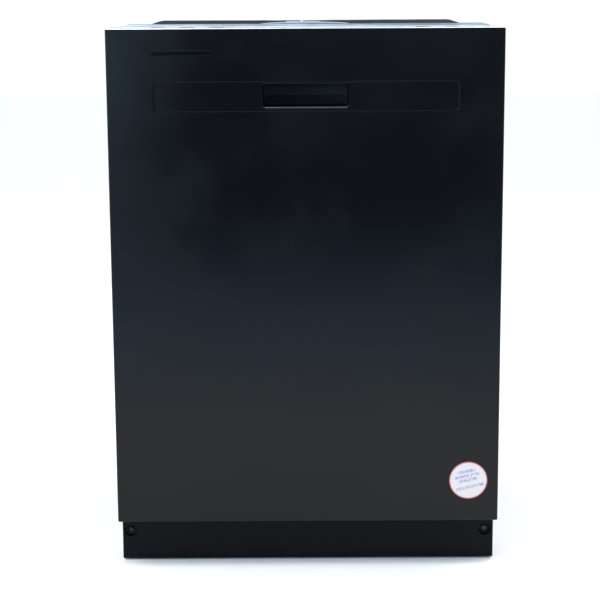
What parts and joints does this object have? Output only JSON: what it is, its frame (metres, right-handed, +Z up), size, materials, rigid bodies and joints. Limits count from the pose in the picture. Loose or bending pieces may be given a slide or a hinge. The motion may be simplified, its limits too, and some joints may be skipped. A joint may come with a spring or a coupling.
{
  "type": "built-in dishwasher",
  "caption": "Built-in dishwasher with a glossy black drop-down door, pocket handle, top-edge buttons, pull-out racks, spray arms and a recessed toe panel.",
  "frame": {"origin": "on the floor, under the middle of the machine's box, with the levelling legs screwed in and the door shut", "axes": "+Z up, -Y out of the door's face towards the user, +X to the user's right"},
  "size_m": [0.6064, 0.6017, 0.87],
  "materials": {
    "black_enamel": "glossy black enamel on steel sheet",
    "gloss_black": "moulded glossy black",
    "matte_black": "fine moulded texture",
    "toe_enamel": "satin black paint",
    "stainless": "satin stainless sheet",
    "galvanised": "zinc-coated steel sheet",
    "zinc_screw": "zinc-plated steel",
    "spring_steel": "oiled spring steel and dull heater sheath",
    "rubber": "matte black rubber",
    "grey_plastic": "grey polypropylene",
    "white_plastic": "off-white plastic",
    "blanket": "dark felted sound blanket",
    "rack_coating": "grey nylon coating on steel wire",
    "label": "printed paper label",
    "circuit": "green circuit board"
  },
  "bodies": {
    "cabinet": {"tub": "stainless", "sound_blanket": "blanket", "tub_gasket": "rubber", "base_frame": "galvanised", "toe_panel": "toe_enamel", "toe_screw_left": "zinc_screw", "toe_screw_right": "zinc_screw", "sump": "grey_plastic", "wash_motor": "matte_black", "drain_pump": "white_plastic", "drain_hose": "matte_black", "inlet_valve": "white_plastic", "junction_box": "galvanised", "feed_tube": "grey_plastic", "heating_element": "spring_steel", "strike_bracket": "stainless", "upper_rail_left": "grey_plastic", "upper_rail_right": "grey_plastic", "door_spring_left": "spring_steel", "door_spring_right": "spring_steel"},
    "door": {"door_outer_panel": "black_enamel", "status_window": "gloss_black", "handle_pocket": "gloss_black", "control_console": "gloss_black", "control_board": "circuit", "latch_housing": "matte_black", "door_inner_panel": "stainless", "door_bottom_seal": "rubber", "dispenser_body": "grey_plastic", "round_label": "label", "hinge_arm_left": "galvanised", "hinge_arm_right": "galvanised"},
    "upper_rack_body": {"upper_rack": "rack_coating", "rack_manifold": "grey_plastic"},
    "lower_rack_body": {"lower_rack": "rack_coating"},
    "rack_wheel_front_left_body": {"rack_wheel_front_left": "grey_plastic"},
    "rack_wheel_front_right_body": {"rack_wheel_front_right": "grey_plastic"},
    "rack_wheel_rear_left_body": {"rack_wheel_rear_left": "grey_plastic"},
    "rack_wheel_rear_right_body": {"rack_wheel_rear_right": "grey_plastic"},
    "spring_link_left_body": {"spring_link_left": "spring_steel"},
    "spring_link_right_body": {"spring_link_right": "spring_steel"},
    "silverware_basket_body": {"silverware_basket": "grey_plastic"},
    "fold_down_tines_body": {"fold_down_tines": "rack_coating"},
    "upper_spray_arm_body": {"upper_spray_arm": "grey_plastic"},
    "lower_spray_arm_body": {"lower_spray_arm": "grey_plastic"},
    "top_spray_arm_body": {"top_spray_arm": "grey_plastic"},
    "filter_cup_body": {"filter_cup": "grey_plastic"},
    "overfill_float_body": {"overfill_float": "white_plastic"},
    "levelling_leg_left_body": {"levelling_leg_left": "grey_plastic"},
    "levelling_leg_right_body": {"levelling_leg_right": "grey_plastic"},
    "rear_wheel_left_body": {"rear_wheel_left": "grey_plastic"},
    "rear_wheel_right_body": {"rear_wheel_right": "grey_plastic"},
    "latch_pawl_body": {"latch_pawl": "white_plastic"},
    "dispenser_lid_body": {"dispenser_lid": "grey_plastic"},
    "rinse_aid_cap_body": {"rinse_aid_cap": "grey_plastic"},
    "cycle_button_body": {"cycle_button": "gloss_black"},
    "options_button_body": {"options_button": "gloss_black"},
    "delay_button_body": {"delay_button": "gloss_black"},
    "cancel_button_body": {"cancel_button": "gloss_black"},
    "start_button_body": {"start_button": "gloss_black"}
  },
  "joints": [
    {"name": "door_hinge", "type": "hinge", "parent": "cabinet", "child": "door", "pos_m": [0, -0.2602, 0.125], "axis": [1, 0, 0], "range_deg": [0, 90], "stiffness_Nm_per_rad": 18, "springref_deg": -8.59},
    {"name": "upper_rack_slide", "type": "slide", "parent": "cabinet", "child": "upper_rack_body", "axis": [0, -1, 0], "range_m": [0, 0.46]},
    {"name": "lower_rack_slide", "type": "slide", "parent": "cabinet", "child": "lower_rack_body", "axis": [0, -1, 0], "range_m": [0, 0.5]},
    {"name": "rack_wheel_front_left_spin", "type": "hinge", "parent": "lower_rack_body", "child": "rack_wheel_front_left_body", "pos_m": [-0.2505, -0.1322, 0.1604], "axis": [1, 0, 0], "range_deg": [0, 1600]},
    {"name": "rack_wheel_front_right_spin", "type": "hinge", "parent": "lower_rack_body", "child": "rack_wheel_front_right_body", "pos_m": [0.2505, -0.1322, 0.1604], "axis": [1, 0, 0], "range_deg": [0, 1600]},
    {"name": "rack_wheel_rear_left_spin", "type": "hinge", "parent": "lower_rack_body", "child": "rack_wheel_rear_left_body", "pos_m": [-0.2505, 0.1698, 0.1604], "axis": [1, 0, 0], "range_deg": [0, 1600]},
    {"name": "rack_wheel_rear_right_spin", "type": "hinge", "parent": "lower_rack_body", "child": "rack_wheel_rear_right_body", "pos_m": [0.2505, 0.1698, 0.1604], "axis": [1, 0, 0], "range_deg": [0, 1600]},
    {"name": "spring_link_left_slide", "type": "slide", "parent": "cabinet", "child": "spring_link_left_body", "axis": [0, -1, 0], "range_m": [0, 0.048]},
    {"name": "spring_link_right_slide", "type": "slide", "parent": "cabinet", "child": "spring_link_right_body", "axis": [0, -1, 0], "range_m": [0, 0.048]},
    {"name": "silverware_basket_lift", "type": "slide", "parent": "lower_rack_body", "child": "silverware_basket_body", "axis": [0, 0, 1], "range_m": [0, 0.09]},
    {"name": "tines_fold", "type": "hinge", "parent": "lower_rack_body", "child": "fold_down_tines_body", "pos_m": [0, 0.0798, 0.19], "axis": [-1, 0, 0], "range_deg": [0, 88]},
    {"name": "upper_spray_arm_spin", "type": "hinge", "parent": "upper_rack_body", "child": "upper_spray_arm_body", "pos_m": [0, 0.0248, 0.445], "axis": [0, 0, 1], "continuous": true},
    {"name": "lower_spray_arm_spin", "type": "hinge", "parent": "cabinet", "child": "lower_spray_arm_body", "pos_m": [0, 0.0248, 0.165], "axis": [0, 0, 1], "continuous": true},
    {"name": "top_spray_arm_spin", "type": "hinge", "parent": "cabinet", "child": "top_spray_arm_body", "pos_m": [0, 0.0248, 0.795], "axis": [0, 0, 1], "continuous": true},
    {"name": "filter_cup_twist", "type": "hinge", "parent": "cabinet", "child": "filter_cup_body", "pos_m": [0, 0.1098, 0.12], "axis": [0, 0, 1], "range_deg": [0, 90]},
    {"name": "overfill_float_lift", "type": "slide", "parent": "cabinet", "child": "overfill_float_body", "axis": [0, 0, 1], "range_m": [0, 0.01]},
    {"name": "levelling_leg_left_screw", "type": "slide", "parent": "cabinet", "child": "levelling_leg_left_body", "axis": [0, 0, -1], "range_m": [0, 0.035]},
    {"name": "levelling_leg_right_screw", "type": "slide", "parent": "cabinet", "child": "levelling_leg_right_body", "axis": [0, 0, -1], "range_m": [0, 0.035]},
    {"name": "rear_wheel_left_spin", "type": "hinge", "parent": "cabinet", "child": "rear_wheel_left_body", "pos_m": [-0.261, 0.2648, 0.02], "axis": [1, 0, 0], "continuous": true},
    {"name": "rear_wheel_right_spin", "type": "hinge", "parent": "cabinet", "child": "rear_wheel_right_body", "pos_m": [0.261, 0.2648, 0.02], "axis": [1, 0, 0], "continuous": true},
    {"name": "latch_pawl_tip", "type": "hinge", "parent": "door", "child": "latch_pawl_body", "pos_m": [0, -0.2522, 0.8375], "axis": [-1, 0, 0], "range_deg": [0, 14]},
    {"name": "dispenser_lid_slide", "type": "slide", "parent": "door", "child": "dispenser_lid_body", "axis": [-1, 0, 0], "range_m": [0, 0.08]},
    {"name": "rinse_aid_cap_turn", "type": "hinge", "parent": "door", "child": "rinse_aid_cap_body", "pos_m": [0.145, -0.2482, 0.53], "axis": [0, 1, 0], "range_deg": [0, 90]},
    {"name": "cycle_button_press", "type": "slide", "parent": "door", "child": "cycle_button_body", "axis": [0, 0, -1], "range_m": [0, 0.001], "stiffness_N_per_m": 300},
    {"name": "options_button_press", "type": "slide", "parent": "door", "child": "options_button_body", "axis": [0, 0, -1], "range_m": [0, 0.001], "stiffness_N_per_m": 300},
    {"name": "delay_button_press", "type": "slide", "parent": "door", "child": "delay_button_body", "axis": [0, 0, -1], "range_m": [0, 0.001], "stiffness_N_per_m": 300},
    {"name": "cancel_button_press", "type": "slide", "parent": "door", "child": "cancel_button_body", "axis": [0, 0, -1], "range_m": [0, 0.001], "stiffness_N_per_m": 300},
    {"name": "start_button_press", "type": "slide", "parent": "door", "child": "start_button_body", "axis": [0, 0, -1], "range_m": [0, 0.001], "stiffness_N_per_m": 300}
  ],
  "couplings": [
    {"joint": "upper_rack_slide", "follows": "door_hinge", "m_per_rad": 0.28648},
    {"joint": "lower_rack_slide", "follows": "door_hinge", "m_per_rad": 0.08913},
    {"joint": "rack_wheel_front_left_spin", "follows": "door_hinge", "ratio": 4.9517},
    {"joint": "rack_wheel_front_right_spin", "follows": "door_hinge", "ratio": 4.9517},
    {"joint": "rack_wheel_rear_left_spin", "follows": "door_hinge", "ratio": 4.9517},
    {"joint": "rack_wheel_rear_right_spin", "follows": "door_hinge", "ratio": 4.9517},
    {"joint": "spring_link_left_slide", "follows": "door_hinge", "m_per_rad": 0.03},
    {"joint": "spring_link_right_slide", "follows": "door_hinge", "m_per_rad": 0.03}
  ]
}
